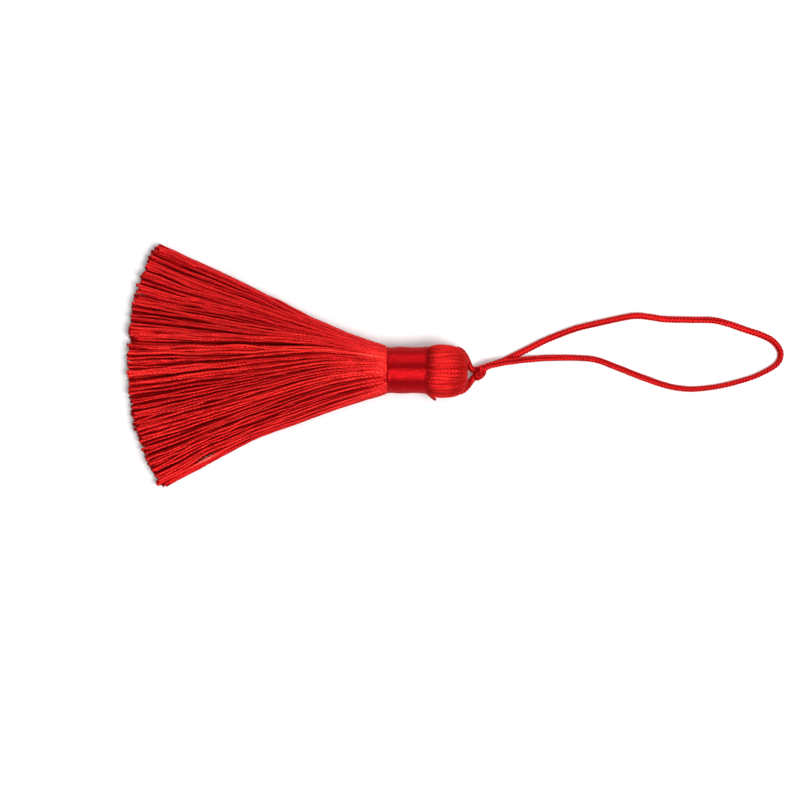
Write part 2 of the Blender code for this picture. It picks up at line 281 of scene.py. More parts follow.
# %% [markdown]
# ## The skirt
#
# Each yarn starts somewhere in the round bundle under the binding and ends somewhere along the
# fan's cut edge. Its place in the bundle decides the rest: yarns from the left of the bundle go to
# the left of the fan, and those from the top lie in the top layer. All yarns are worked out at
# once, as an array of yarns by stations along them.
#
# Two things shape the fan as a whole. The binding presses every layer into one smooth skin, and
# the yarns find their own level only a few millimetres beyond it. The bundle was also turned a
# little as it was bound, so the middle yarns leave it high and swing down in long arcs.
#
# A perfect fan would look like a comb. Real yarns gather in clumps with dark gaps between, part
# in a few places, wander, cross a neighbour now and then, and were not cut quite level, so each
# of these is added as sums of sine waves or as seeded random steps.

# %% Sizes of the bundle and of the fan
# Height of the axis over the table, radius of the bundle, and where the yarns' lines start on X
AXIS_HEIGHT = 6.05
BUNDLE_RADIUS = 5.05
YARN_ROOT = -13.6
# The fan's rays meet at this X on the axis, and its two sides lie at these angles
FAN_CENTRE = -14.35
FAN_FROM = np.radians(-24.8)
FAN_TO = np.radians(29.0)
# The usual length of a yarn
YARN_LENGTH = 60.0
# Length of the rays, in mm, at places across the fan in degrees: the scissors went a little askew
CUT_EDGE = ((-25, 57.9), (-22.5, 58.5), (-19, 59.8), (-12, 60.3), (-7, 60.3), (0, 60.4),
            (8, 60.6), (12, 61.0), (15, 61.3), (25, 61.3), (29, 60.8))
LAYERS = 4
YARNS_ACROSS = 82
# How much higher each layer lies on the table than the one under it
LAYER_RISE = 0.46
# Thickness of the yarns and how freely they gather in clumps, from the lowest layer up
LAYER_THICK = (0.64, 0.64, 0.66, 0.70)
LAYER_FREEDOM = (0.10, 0.30, 0.80, 1.00)
print("fan, degrees:", np.degrees(FAN_TO - FAN_FROM).round(1), "and between yarns at its edge, mm:",
      round((FAN_TO - FAN_FROM) * YARN_LENGTH / YARNS_ACROSS, 2))

# %% Places of the yarns at both ends
# How unevenly they lie side by side, in spacings
CROWDING = 0.16
rng = np.random.default_rng(11)

yarn_count = LAYERS * YARNS_ACROSS
layer = np.repeat(np.arange(LAYERS), YARNS_ACROSS)
number = np.tile(np.arange(YARNS_ACROSS), LAYERS)
# Yarns of every other layer lie over the joins of the layer below
across = (number + 0.25 + 0.5 * (layer % 2)) / YARNS_ACROSS
across += rng.normal(0, CROWDING, yarn_count) / YARNS_ACROSS
across = np.clip(across, 0.004, 0.996)

# Share of a disc's area on one side of a chord, turned round to place the chord
chord = np.linspace(-1, 1, 400)
area_left = 0.5 + (chord * np.sqrt(1 - chord ** 2) + np.arcsin(chord)) / np.pi
root_y = np.interp(across, area_left, chord)
# How high each yarn is in the bundle, from 0 to 1. Steps of the golden ratio keep neighbours apart
rank = (layer + (number * 0.618) % 1) / LAYERS
print("yarns:", yarn_count, "in", LAYERS, "layers")

# %% Stations along the yarns, and smooth seeded wander
STATIONS = 321
share = np.linspace(0, 1, STATIONS)
mm_along = share * YARN_LENGTH
print("stations:", STATIONS, "and between them, mm:", YARN_LENGTH / (STATIONS - 1))


def waves(lengths, sizes):
    """Smooth seeded wander of each yarn: a sum of sines of the given wavelengths and sizes."""
    total = np.zeros((yarn_count, STATIONS))
    for wavelength, size in zip(lengths, sizes):
        start = rng.uniform(0, 2 * np.pi, (yarn_count, 1))
        strength = rng.normal(0, size, (yarn_count, 1))
        total += strength * np.sin(2 * np.pi * mm_along / wavelength + start)
    return total


# %% [markdown]
# ### Clumps and partings
#
# A yarn's direction is its place across the fan, pushed about a little. Random pushes would only
# blur the rows, so clumps come from slow waves across the fan, in which neighbours move together.
# A parting is a place where the yarns on both sides step away from each other.

# %% Directions and lengths of the yarns
# Cycles across the fan, phase at the binding, and how far the phase drifts along the yarns
CLUMP_WAVES = ((5.3, 0.6, 0.9), (11.7, 2.1, -1.6), (19.4, 4.0, 2.2), (31.0, 1.3, -1.2))
# How much closer together yarns lie in a clump, as a share of their spacing
CLUMP_PUSH = 0.42
# Place across the fan, how far its sides step apart, and where along the yarns it starts
PARTINGS = ((0.578, 0.011, 0.20), (0.31, 0.004, 0.35), (0.80, 0.003, 0.45))
PARTING_WIDTH = 0.006
# How far a tip strays across the fan by itself, and how unevenly the yarns were cut, in mm
STRAY = 0.004
UNEVEN_CUT = 0.31

opened = np.clip((share - 0.06) / 0.5, 0, 1)
opened = opened ** 2 * (3 - 2 * opened)
freedom = np.array(LAYER_FREEDOM)[layer][:, None]
clumped = across[:, None] + 0 * share
# The clumps are strongest in the middle of the fan
calm = 1 - 0.75 * (2 * across[:, None] - 1) ** 2
for cycles, phase, drift in CLUMP_WAVES:
    push = np.sin(2 * np.pi * cycles * across[:, None] + phase + drift * share)
    clumped = clumped + freedom * calm * opened * push * CLUMP_PUSH / (2 * np.pi * cycles)
clumped = clumped + opened * (rng.normal(0, STRAY, (yarn_count, 1)) * share)
# All layers but the lowest stand apart at a parting, so it is dark there
for place, width, start in PARTINGS:
    beside = (across[:, None] - place) / PARTING_WIDTH
    parted = np.tanh(4 * beside) * np.exp(-np.abs(beside) / 5) * np.clip((share - start) / 0.2, 0, 1)
    clumped = clumped + width * parted * np.clip(3 * freedom - 0.3, 0, 1)
angle = FAN_FROM + clumped * (FAN_TO - FAN_FROM)
length = np.interp(np.degrees(angle[:, -1:]), *np.array(CUT_EDGE, float).T)
length = length + rng.normal(0, UNEVEN_CUT, (yarn_count, 1))
print("yarn lengths, mm:", length.min().round(1), "to", length.max().round(1))

# %% [markdown]
# ### Arcs
#
# The middle yarns come down in long arcs, while the two sides of the fan stay nearly straight. So
# the lean from a straight ray is one curve along the yarns times one curve across the fan. Each
# curve is read off between a few points, and a moving average takes the corners off the first.

# %% How far the yarns lean from straight rays
# In mm, at each share of a yarn's length
LEAN_ALONG = ((0, 2.5), (0.12, 3.3), (0.25, 3.9), (0.40, 3.3), (0.55, 2.3), (0.70, 1.5),
              (0.85, 0.7), (1, 0))
# Share of that lean which the yarns take at places across the fan
LEAN_ACROSS = ((0, 0), (0.05, 0.30), (0.15, 0.88), (0.30, 0.95), (0.50, 1), (0.70, 0.75), (0.80, 0.58),
               (0.90, 0.26), (1, 0))
# Stations in the moving average
SMOOTHING = 43
softly = np.hanning(SMOOTHING) / np.hanning(SMOOTHING).sum()
arc = np.pad(np.interp(share, *np.array(LEAN_ALONG).T), SMOOTHING // 2, "edge")
lean = np.interp(across, *np.array(LEAN_ACROSS).T)[:, None] * np.convolve(arc, softly, "valid")
# Near the tips the upper corner falls back
lean = lean - 0.85 * np.exp(-((across[:, None] - 0.86) / 0.08) ** 2 - ((share - 0.80) / 0.14) ** 2)
print("largest lean, mm:", lean.max().round(2))

# %% Middle lines of the yarns, seen from above
# The fan opens a little slower near the binding, then evenly
spread = (share - 0.032 * (1 - np.exp(-share / 0.10))) / (1 - 0.032)
flare = np.interp(share, (0, 0.012, 0.03), (0.86, 0.93, 1.0)) * BUNDLE_RADIUS
start_y = root_y[:, None] * flare
wander = waves((34, 13, 5.5), (0.20, 0.09, 0.035)) * freedom
yarn_x = YARN_ROOT + (FAN_CENTRE - length * np.cos(angle) - YARN_ROOT) * share
yarn_y = start_y + (length * np.sin(angle) - start_y) * spread + wander * opened + lean
# The yarns near the lower side of the fan bend outwards over their outer half
outermost = np.clip(1 - across / 0.16, 0, 1)[:, None]
yarn_y -= 3.1 * np.clip((share - 0.45) / 0.55, 0, 1) ** 1.5 * outermost
# The outermost two have come away from the rest, and leave a slit
OUTER_PAIR = 0.013
inner = np.where(across > OUTER_PAIR, np.clip(1 - (across - OUTER_PAIR) / 0.09, 0, 1), 0)[:, None]
yarn_y += 0.90 * np.exp(-((share - 0.79) / 0.085) ** 2) * inner
# The top edge of the fan is slightly hollow near the binding, and full further out
hollow = np.interp(share, (0.04, 0.18, 0.30, 0.45, 0.60, 0.75, 1),
                   (0, -0.45, -0.60, -0.40, 0.10, 0.40, 0))
yarn_y += hollow * np.clip((across - 0.6) / 0.4, 0, 1)[:, None]
# The bottom edge is hollow in its middle
hollow = np.interp(share, (0.40, 0.60, 0.85), (0, 0.62, 0))
yarn_y += hollow * np.clip(1 - across / 0.2, 0, 1)[:, None]
print("skirt, mm: x", yarn_x.min().round(2), "y", yarn_y.min().round(2), yarn_y.max().round(2))

# %% Thickness of the yarns
THICKNESS_SPREAD = 0.09
thickness = np.array(LAYER_THICK)[layer][:, None] * rng.normal(1, THICKNESS_SPREAD, (yarn_count, 1))
# Where the binding presses the bundle the yarns are drawn thicker, so that they close up
thickness = thickness * np.interp(share, (0, 0.05, 0.14, 0.3, 0.98, 1), (1.25, 1.25, 1.1, 1, 1.09, 1.15))
thickness = thickness * (1 + waves((9, 4), (0.04, 0.03)))
# In the lower half they lie wider apart near the binding, and swell to fill the room
swollen = 0.45 * np.exp(-((share - 0.06) / 0.14) ** 2)
thickness = thickness * (1 + swollen * np.clip(1 - across / 0.45, 0, 1)[:, None])
# Along both sides of the fan they close up
thickness = thickness * (1 + 0.13 * share * (2 * across[:, None] - 1) ** 4)
print("yarn thickness, mm:", thickness.min().round(2), "to", thickness.max().round(2))

# %% Heights of the yarns
# The binding presses each layer into one smooth skin, and the yarns find their own level beyond it
layer_top = 2 * (layer[:, None] + 1) / LAYERS - 1
pressed = np.interp(share, (0, 0.03, 0.13), (0.10, 0.22, 1.0))
level = layer_top - (layer_top - (2 * rank[:, None] - 1)) * pressed
leaned_root = np.clip(root_y + lean[:, 0] / BUNDLE_RADIUS, -1, 1)[:, None]
start_z = AXIS_HEIGHT + level * np.sqrt(1 - leaned_root ** 2) * flare
# The yarns leave the binding level, then sink to the table one after another
sunk = np.clip(share / (0.85 + 0.40 * rank[:, None]), 0, 1)
lift = 1 - sunk ** 1.6 * (2.6 - 1.6 * sunk)
rest_z = thickness / 2 + layer[:, None] * LAYER_RISE + rng.uniform(0, 0.40, (yarn_count, 1)) * freedom
rest_z = rest_z + np.abs(waves((40, 15), (0.20, 0.10))) * freedom
yarn_z = np.maximum(rest_z + (start_z - rest_z) * lift, thickness / 2)
yarn_lines = np.stack([yarn_x, yarn_y, yarn_z], axis=-1)
print("skirt height, mm: at the binding", yarn_z[:, 0].max().round(2), "at the tips",
      yarn_z[:, -1].max().round(2))

# %% Twist of the yarns
# From one ply to the next along a yarn, in mm: pulled tight, and for yarns that have opened up
PLY_STEP = 0.80
LOOSE_PLY_STEP = (0.85, 1.15)
steps = np.linalg.norm(np.diff(yarn_lines, axis=1), axis=2)
yarn_reach = np.concatenate([np.zeros((yarn_count, 1)), np.cumsum(steps, axis=1)], axis=1)
yarn_reach += rng.uniform(0, 2, (yarn_count, 1))
ply_step = rng.uniform(*LOOSE_PLY_STEP, (yarn_count, 1))
twist = np.pi * yarn_reach / ply_step + waves((11, 5), (0.8, 0.4))
# How deep the groove between the plies is: most where the binding presses the yarns
groove = 0.13 + 0.05 * np.exp(-share / 0.07)
print("turns of a yarn:", (np.ptp(twist, axis=1).mean() / (2 * np.pi)).round(1))

# %% [markdown]
# ### Light and dark of the yarns
#
# Yarns that lean the same way catch the light together, so the fan has bright and dark patches
# wider than any yarn. They are painted into the colour as a number at each point, which the
# finish reads later. It holds each yarn's own depth of dye and painted light and shade: slow waves
# along it, waves across the fan, darker sides, a brighter start at the binding, and one pale streak.

# %% Depth of dye, and painted light and shade
# Waves of painted light and shade: cycles across the fan, phase at the binding, and drift along the yarns
SHADE_WAVES = ((2.3, 4.4, 3.0), (6.1, 1.9, -5.0), (13.7, 0.4, 7.0))
# Each yarn's own depth of dye, and slow waves of painted light and shade along it
shade = rng.normal(0, 0.9, (yarn_count, 1)) + waves((26, 9), (0.5, 0.4))
for cycles, phase, drift in SHADE_WAVES:
    shade = shade + 1.1 * calm * np.sin(2 * np.pi * cycles * across[:, None] + phase + drift * share)
# Painted highlight: one of the outermost two is paler where they stand clear
lone = (layer == LAYERS - 1) & (across < OUTER_PAIR)
shade = shade + 8 * lone[:, None] * np.exp(-((share - 0.79) / 0.08) ** 2)
# Painted shade: the two sides of the fan are darker, as they turn away from the light
shade = shade - 1.6 * (2 * across[:, None] - 1) ** 4 - 1.2 * across[:, None] ** 6
# Painted light: the yarns are brighter where they rise out of the binding
shade = (shade + 1.9 * np.exp(-share / 0.16) - 0.45)[..., None]
cut_end = (share == 1)[None, :, None].astype(float)
# The printed number holds the depth of dye together with the painted light and shade
print("depth of dye: mean", shade.mean().round(2), "spread", shade.std().round(2))

# %% Rings of the yarns
# How far the scissors' cut slants across a yarn's end, in mm
CUT_SLANT = 0.16


def plied_skin(chosen, stations, sides, plied):
    """Rings of two-ply yarns, and how far out each point stands.

    The section is a circle pinched at two sides: its radius is 1 less the groove's depth times the
    square of 1 less the cosine's size. It turns with the twist, so its lines of points follow the
    plies round the yarn. A yarn that isn't plied is a plain round one.
    """
    line = yarn_lines[chosen][:, stations]
    along, out, side = directions(line)
    angle = np.arange(sides) * 2 * np.pi / sides
    outline = 1 - plied * groove[stations, None] * (1 - np.abs(np.cos(angle))) ** 2
    turned = angle + plied * twist[chosen][:, stations, None]
    half = (thickness[chosen][:, stations] / 2)[..., None] * outline
    wide = (half * np.cos(turned))[..., None] * side[:, :, None]
    high = (half * np.sin(turned))[..., None] * out[:, :, None]
    rings = line[:, :, None] + wide + high
    slant = rng.normal(0, CUT_SLANT, (len(line), 1)) * np.cos(angle + rng.uniform(0, 6, (len(line), 1)))
    rings[:, -1] += along[:, -1, None] * slant[..., None]
    return rings, np.broadcast_to(outline, rings.shape[:3])


# %% Skirt: the top yarns in three pieces, and the layers under them
# The top yarns have their plies in the mesh. Little shows of the others, so they have fewer points.
every = np.arange(STATIONS)
sparse = np.append(every[:-1:8], STATIONS - 1)
top_yarns = np.flatnonzero(layer == LAYERS - 1)
skirt_top = []
for part, chosen in zip(("lower", "middle", "upper"), np.array_split(top_yarns, 3)):
    rings, relief = plied_skin(chosen, every, sides=8, plied=True)
    skirt_top.append(tube_object(f"skirt_top_yarns_{part}", rings, yarn_reach[chosen][..., None],
                                 relief=relief, shade=shade[chosen], cut=cut_end))
under_yarns = np.flatnonzero(layer < LAYERS - 1)
rings, _ = plied_skin(under_yarns, sparse, sides=6, plied=False)
# Painted shade: the layers under the top one are a little darker
skirt_under = tube_object("skirt_under_yarns", rings, yarn_reach[under_yarns][:, sparse, None],
                          shade=shade[under_yarns][:, sparse] - 0.4, cut=cut_end[:, sparse])

# %% [markdown]
# ## The binding
#
# The neck is bound with fine twisted thread, wound on side by side under tension. It hides the
# bundle, so it can be one sleeve: a profile turned round the axis, with a small ridge where the
# first and last turns sit proud. The turns are too fine to see one by one. What shows is the twist
# of the thread, which lines up from turn to turn in slanting rows, so those are raised in the mesh.

# %% Sleeve of wound thread
# x and distance from the axis, from the skirt's side to the head's
SLEEVE_PROFILE = ((-14.36, 4.40), (-14.35, 5.10), (-14.25, 5.34), (-14.00, 5.40), (-13.75, 5.32),
                  (-13.30, 5.28), (-11.50, 5.36), (-8.50, 5.33), (-5.80, 5.33), (-5.60, 5.37),
                  (-5.35, 5.47), (-5.12, 5.45), (-5.02, 5.25), (-5.00, 4.40))
NECK_RADIUS = 5.35
# From turn to turn of the thread, from twist to twist along it, and how far both stand out, in mm
TURN_PITCH = 0.42
TURN_HEIGHT = 0.035
TWIST_PITCH = 0.74
TWIST_HEIGHT = 0.080
SLEEVE_ROUND = 300
# A few more turns than the sleeve has
MOST_TURNS = 40
sleeve_path, sleeve_reach = smooth_line([(x, r, 0) for x, r in SLEEVE_PROFILE], spacing=0.072)
sleeve_x, sleeve_r = sleeve_path[:, 0], sleeve_path[:, 1]
sleeve_angle = np.arange(SLEEVE_ROUND) * 2 * np.pi / SLEEVE_ROUND
twists_round = round(2 * np.pi * NECK_RADIUS / TWIST_PITCH)
slope = sleeve_x[:, None] / TWIST_PITCH - twists_round * sleeve_angle / (2 * np.pi)
slope = slope + 0.05 * np.sin(5 * sleeve_angle + 2.3 * sleeve_x[:, None])
# From turn to turn the twist slips a little, so the slanting rows are not quite straight
turn_number = np.floor(-sleeve_x / TURN_PITCH).astype(int)
slip = rng.normal(0, 0.09, MOST_TURNS)[turn_number]
sleeve_relief = np.abs(np.cos(np.pi * (slope + slip[:, None]))) ** 0.7
turn_relief = np.abs(np.sin(np.pi * sleeve_x / TURN_PITCH))[:, None]
uneven = 0.05 * np.sin(1.1 * sleeve_x[:, None] + 1.0 + 2 * np.sin(sleeve_angle))
radius = sleeve_r[:, None] + TWIST_HEIGHT * (sleeve_relief - 0.5) + TURN_HEIGHT * turn_relief + uneven
sleeve_rings = np.stack([np.broadcast_to(sleeve_x[:, None], radius.shape),
                         -radius * np.cos(sleeve_angle),
                         AXIS_HEIGHT + radius * np.sin(sleeve_angle)], axis=-1)
binding = tube_object("thread_binding", sleeve_rings[None], sleeve_reach[None, :, None],
                      relief=sleeve_relief[None])

# %% Cut end of the binding thread
# It sticks out at this angle round the axis, on the near side and a little downwards
TAIL_ANGLE = np.radians(198.0)
TAIL_SIDES = 10
# x and distance from the axis, half width and half thickness
TAIL_ROUTE = ((-5.45, 5.10, 0.30, 0.18), (-5.00, 5.55, 0.32, 0.20), (-4.30, 6.18, 0.34, 0.20),
              (-3.60, 6.78, 0.34, 0.18), (-2.95, 7.28, 0.30, 0.16))
tail_x, tail_r, tail_wide, tail_thick = np.array(TAIL_ROUTE).T
tail_line, tail_reach = smooth_line(np.column_stack([
    tail_x, tail_r * np.cos(TAIL_ANGLE), AXIS_HEIGHT + tail_r * np.sin(TAIL_ANGLE)]), spacing=0.15)
tail_share = tail_reach / tail_reach[-1]
route_share = np.linspace(0, 1, len(TAIL_ROUTE))
tail_wide = np.interp(tail_share, route_share, tail_wide)
tail_thick = np.interp(tail_share, route_share, tail_thick)
_, tail_out, tail_side = directions(tail_line)
tail_round = np.arange(TAIL_SIDES) * 2 * np.pi / TAIL_SIDES
tail_rings = tail_line[:, None] + (
    tail_side[:, None] * (tail_wide[:, None] * np.cos(tail_round))[..., None]
    + tail_out[:, None] * (tail_thick[:, None] * np.sin(tail_round))[..., None])
# Painted shade: the end is a darker red, more so towards its tip
binding_tail = tube_object("binding_thread_end", tail_rings[None], tail_reach[None, :, None],
                           relief=-0.2 - 0.3 * tail_share[None, :, None])

# %% [markdown]
# ## The head
#
# At the head the yarns fold over the cord and lie side by side like the staves of a barrel. They
# touch all the way, so a single skin with a rounded rib for each yarn gives the same look as fifty
# tubes, without tubes cutting into each other where they crowd together at the fold. The plies of
# each yarn show as a row of beads, sunk into the rib where one ply gives way to the next.

# %% Profile of the head and its yarns
# x and distance from the axis, from the binding over the fold to the cord
HEAD_PROFILE = ((-5.40, 5.05), (-5.10, 5.38), (-4.85, 5.62), (-4.25, 5.86), (-3.30, 6.16),
                (-2.00, 6.30), (-0.50, 6.24), (0.90, 6.04), (2.00, 5.70), (2.95, 5.12),
                (3.70, 4.25), (4.20, 3.20), (4.40, 2.10), (4.10, 1.00), (3.40, 0.50))
HEAD_YARNS = 52
POINTS_PER_YARN = 8
# How far the head sits to the near side of the neck, and how deep its grooves are, in mm
HEAD_ASIDE = -0.28
RIB_DEPTH = 0.38
head_path, head_reach = smooth_line([(x, r, 0) for x, r in HEAD_PROFILE], spacing=0.13)
head_x, head_r = head_path[:, 0], head_path[:, 1]
head_sides = HEAD_YARNS * POINTS_PER_YARN
head_turn = np.arange(head_sides) / head_sides
yarn_number = (head_turn * HEAD_YARNS).astype(int)
# Place within a yarn, from -0.5 to 0.5
within = head_turn * HEAD_YARNS % 1 - 0.5
# The yarns wander sideways as they go over the fold, and are wider in some places than in others
drift = 0.35 * np.sin(head_reach / 2.6 + 1.0)[:, None] * np.sin(2 * np.pi * 5 * head_turn + 0.8)
drift = drift + 0.22 * np.sin(head_reach / 1.7)[:, None] * np.sin(2 * np.pi * 11 * head_turn)
drift = drift + 0.45 * np.sin(2 * np.pi * 8 * head_turn + 2.0) + 0.25 * np.sin(2 * np.pi * 17 * head_turn)
head_angle = 2 * np.pi * (head_turn + drift / HEAD_YARNS)
print("head:", HEAD_YARNS, "yarns, and the widest is, mm:",
      round(float(np.diff(head_angle[:, ::POINTS_PER_YARN]).max() * head_r.max()), 2))

# %% Ribs and plies of the head
# A rib is half a circle, and some yarns lie a little deeper than their neighbours
sunk_yarn = rng.uniform(0, 0.45, HEAD_YARNS)[yarn_number]
rib = np.sqrt(1 - (1.96 * within) ** 2) - sunk_yarn
slip = rng.uniform(0, 1, HEAD_YARNS)[yarn_number]
ply = np.abs(np.cos(np.pi * (head_reach[:, None] / PLY_STEP + slip + 1.3 * within)))
head_relief = 0.45 + 0.55 * rib - 0.55 * (1 - ply) ** 2
# Where the head narrows its yarns get narrower too, and their grooves less deep
narrow = np.clip(head_r / 6.2, 0.15, 1)[:, None]
head_radius = head_r[:, None] - RIB_DEPTH * narrow * (1 - head_relief)
head_radius = head_radius * (1 + 0.010 * np.sin(3 * head_angle + 0.5) * np.sin(head_x / 3)[:, None])
head_rings = np.stack([np.broadcast_to(head_x[:, None], head_radius.shape),
                       HEAD_ASIDE - head_radius * np.cos(head_angle),
                       AXIS_HEIGHT + head_radius * np.sin(head_angle)], axis=-1)
# Its lowest yarns are pressed flat on the table
head_rings[..., 2] = np.maximum(head_rings[..., 2], 0.02)
head_shade = rng.normal(0, 1, HEAD_YARNS)[yarn_number]
# Painted shade: deeper red where the yarns dive into the binding, and where they turn down to the cord
painted_fold_shade = 0.37 * np.clip((-2.9 - head_x) / 1.7, 0, 1) + 0.18 * np.clip((head_x + 0.4) / 1.7, 0, 1)
head = tube_object("head_folded_yarns", head_rings[None], head_reach[None, :, None],
                   relief=(head_relief - painted_fold_shade[:, None])[None], shade=head_shade[None, None])

# %% [markdown]
# ## Finishes
#
# The whole tassel is one dye on three constructions: soft two-ply yarn, hard fine thread, and
# plaited cord. What the eye takes for silk is mostly its gleam: light runs along every yarn as a
# streak of brighter red and drops to near black in the grooves. So the colours go from a deep red
# for the grooves to a pale one for the few places that catch the most light.
#
# Colours are written as sRGB hex, which is how a screen gives them, while shaders work in linear
# light, so one function turns one into the other.

# %% Colours


def linear(code):
    """A hex colour as linear RGBA: each channel is a power curve with a short straight start."""
    parts = np.array([int(code[i:i + 2], 16) for i in (1, 3, 5)]) / 255
    curve = np.where(parts <= 0.04045, parts / 12.92, ((parts + 0.055) / 1.055) ** 2.4)
    return (*curve.tolist(), 1.0)


# Painted shade in grooves, hard thread and cut ends, silk, silk that faces the light, the painted
# highlight at its palest places, its shine
DEEP_RED = linear("#78050A")
THREAD_RED = linear("#A00A11")
SILK_RED = linear("#C21318")
BRIGHT_RED = linear("#EA2A26")
PALE_RED = linear("#F8796C")
SHINE_RED = linear("#F27A70")
print("silk red in linear light:", [round(channel, 3) for channel in SILK_RED[:3]])

# %% Nodes
# A Mix node has sockets for numbers, vectors and colours: these are its two colours and its result
FIRST, SECOND, MIXED = 6, 7, 2


def add_node(tree, kind, inputs=None, **settings):
    """Add a node. Settings are its own properties; inputs are values or sockets to link from."""
    node = tree.nodes.new(kind)
    for key, value in settings.items():
        setattr(node, key, value)
    for key, value in (inputs or {}).items():
        if isinstance(value, bpy.types.NodeSocket):
            tree.links.new(value, node.inputs[key])
        else:
            node.inputs[key].default_value = value
    return node


# %% [markdown]
# ### Silk
#
# A silk filament is clear and dyed right through. Light goes in, takes on the dye, and comes back
# out along the filament, so the shine of red silk is red, not white. The Principled shader has no
# such layer, but its metallic share colours reflections in the same way. So that share stands for
# the light from inside, and a little plain reflection for the bare surface.

# %% Shader of dyed silk
SILK_IOR = 1.56


def silk_shader(name, roughness, clear, shine):
    """A material with its shader set for silk, and with a shine tinted by the dye.

    shine is the share of dyed reflection, and clear is how much the bare surface adds.
    """
    material = bpy.data.materials.new(name)
    material.use_nodes = True
    shader = material.node_tree.nodes["Principled BSDF"]
    shader.inputs["Roughness"].default_value = roughness
    shader.inputs["IOR"].default_value = SILK_IOR
    shader.inputs["Specular IOR Level"].default_value = clear
    shader.inputs["Specular Tint"].default_value = SHINE_RED
    shader.inputs["Metallic"].default_value = shine
    print(name, "- roughness", roughness, "shine", shine)
    return material, material.node_tree, shader


def finish_silk(tree, shader, colour, height, depth, strength):
    """The last step of every silk: cut ends are darker, and fine relief tilts the light."""
    cut = add_node(tree, "ShaderNodeAttribute", attribute_name="cut")
    ends = add_node(tree, "ShaderNodeMix",
                    {"Factor": cut.outputs["Fac"], FIRST: colour, SECOND: THREAD_RED},
                    data_type="RGBA")
    bump = add_node(tree, "ShaderNodeBump", {"Height": height, "Distance": depth, "Strength": strength})
    tree.links.new(ends.outputs[MIXED], shader.inputs["Base Color"])
    tree.links.new(bump.outputs["Normal"], shader.inputs["Normal"])


# %% [markdown]
# ### Two-ply yarn
#
# Two strands twisted round each other look like a row of slanting beads. The top layer has its
# plies in the mesh, and the layers under it, which show only in the gaps, have them in the finish.
# Round the yarn there are two plies, and along it one follows the other every 0.8 mm, so the ply's
# place is 2 U + V / 0.8. The sine of that gives the bead's height for the bump, and its colour:
# the groove between plies is in painted shade. Yarns differ a little in depth of dye, and painted
# light and shade lie over that.

# %% Plied yarn of the lower layers
# Sizes of the patches where the twist is tighter or looser, and of the patches of painted light, where
# the red is brighter
TWIST_PATCH = 2.4 * MM
PAINTED_LIGHT_PATCH = 3.8 * MM
PLY_DEPTH = 0.05 * MM


def plied_yarn(name, plies_round, groove_light):
    """Dyed two-ply silk: slanting beads of light, deeper red between them, soft shine.

    plies_round is how many plies there are round the yarn. groove_light brightens the grooves.
    """
    material, tree, shader = silk_shader(name, roughness=0.36, clear=0.08, shine=0.65)
    uv = add_node(tree, "ShaderNodeUVMap", uv_map="thread")
    split = add_node(tree, "ShaderNodeSeparateXYZ", {0: uv.outputs["UV"]})
    step = add_node(tree, "ShaderNodeMath", {0: split.outputs["Y"], 1: np.pi / PLY_STEP},
                    operation="MULTIPLY")
    ply = add_node(tree, "ShaderNodeMath",
                   {0: split.outputs["X"], 1: np.pi * plies_round, 2: step.outputs[0]},
                   operation="MULTIPLY_ADD")
    coords = add_node(tree, "ShaderNodeTexCoord")
    uneven = add_node(tree, "ShaderNodeTexNoise",
                      {"Vector": coords.outputs["Object"], "Scale": 1 / TWIST_PATCH, "Detail": 2.0})
    slipped = add_node(tree, "ShaderNodeMath", {0: uneven.outputs["Fac"], 1: 5.0, 2: ply.outputs[0]},
                       operation="MULTIPLY_ADD")
    bead = add_node(tree, "ShaderNodeMath", {0: slipped.outputs[0]}, operation="SINE")
    height = add_node(tree, "ShaderNodeMath", {0: bead.outputs[0]}, operation="ABSOLUTE")
    # Patches of painted light along the yarns
    patches = add_node(tree, "ShaderNodeTexNoise",
                       {"Vector": coords.outputs["Object"], "Scale": 1 / PAINTED_LIGHT_PATCH, "Detail": 3.0})
    # The number read here holds each yarn's depth of dye and the painted light and shade
    dye = add_node(tree, "ShaderNodeAttribute", attribute_name="shade")
    tone = add_node(tree, "ShaderNodeMath", {0: dye.outputs["Fac"], 1: 0.16, 2: patches.outputs["Fac"]},
                    operation="MULTIPLY_ADD")
    body = add_node(tree, "ShaderNodeMix",
                    {"Factor": tone.outputs[0], FIRST: SILK_RED, SECOND: BRIGHT_RED}, data_type="RGBA")
    lit = add_node(tree, "ShaderNodeMapRange",
                   {"Value": height.outputs[0], "From Min": -groove_light, "From Max": 0.7})
    colour = add_node(tree, "ShaderNodeMix",
                      {"Factor": lit.outputs["Result"], FIRST: DEEP_RED, SECOND: body.outputs[MIXED]},
                      data_type="RGBA")
    finish_silk(tree, shader, colour.outputs[MIXED], height.outputs[0], depth=PLY_DEPTH, strength=0.7)
    return material


# Silk yarn, dyed and loosely twisted: soft slanting beads of red, with darker red between them
skirt_silk = plied_yarn("dyed_two_ply_silk_yarn", plies_round=2, groove_light=0.7)

# %% [markdown]
# ### Yarn, thread and braid with their pattern in the mesh
#
# The other pieces have real hollows, and each point stores how far out it stands. A deeper red in
# the hollows is painted shade, for the light that is lost between fibres. The depth of dye varies
# from yarn to yarn, with painted light and shade added on the skirt, and where the sum runs highest
# the red goes over into a paler one: a painted highlight, as silk shows in full light. The binding
# is hard-twisted, so it is darker and has the sharpest shine.

# %% Silk whose pattern is raised in the mesh
# Silk filaments are 0.01 mm thick, too fine to show, so bundles of them are drawn
FIBRE_SIZE = 0.33 * MM
FIBRE_DEPTH = 0.03 * MM


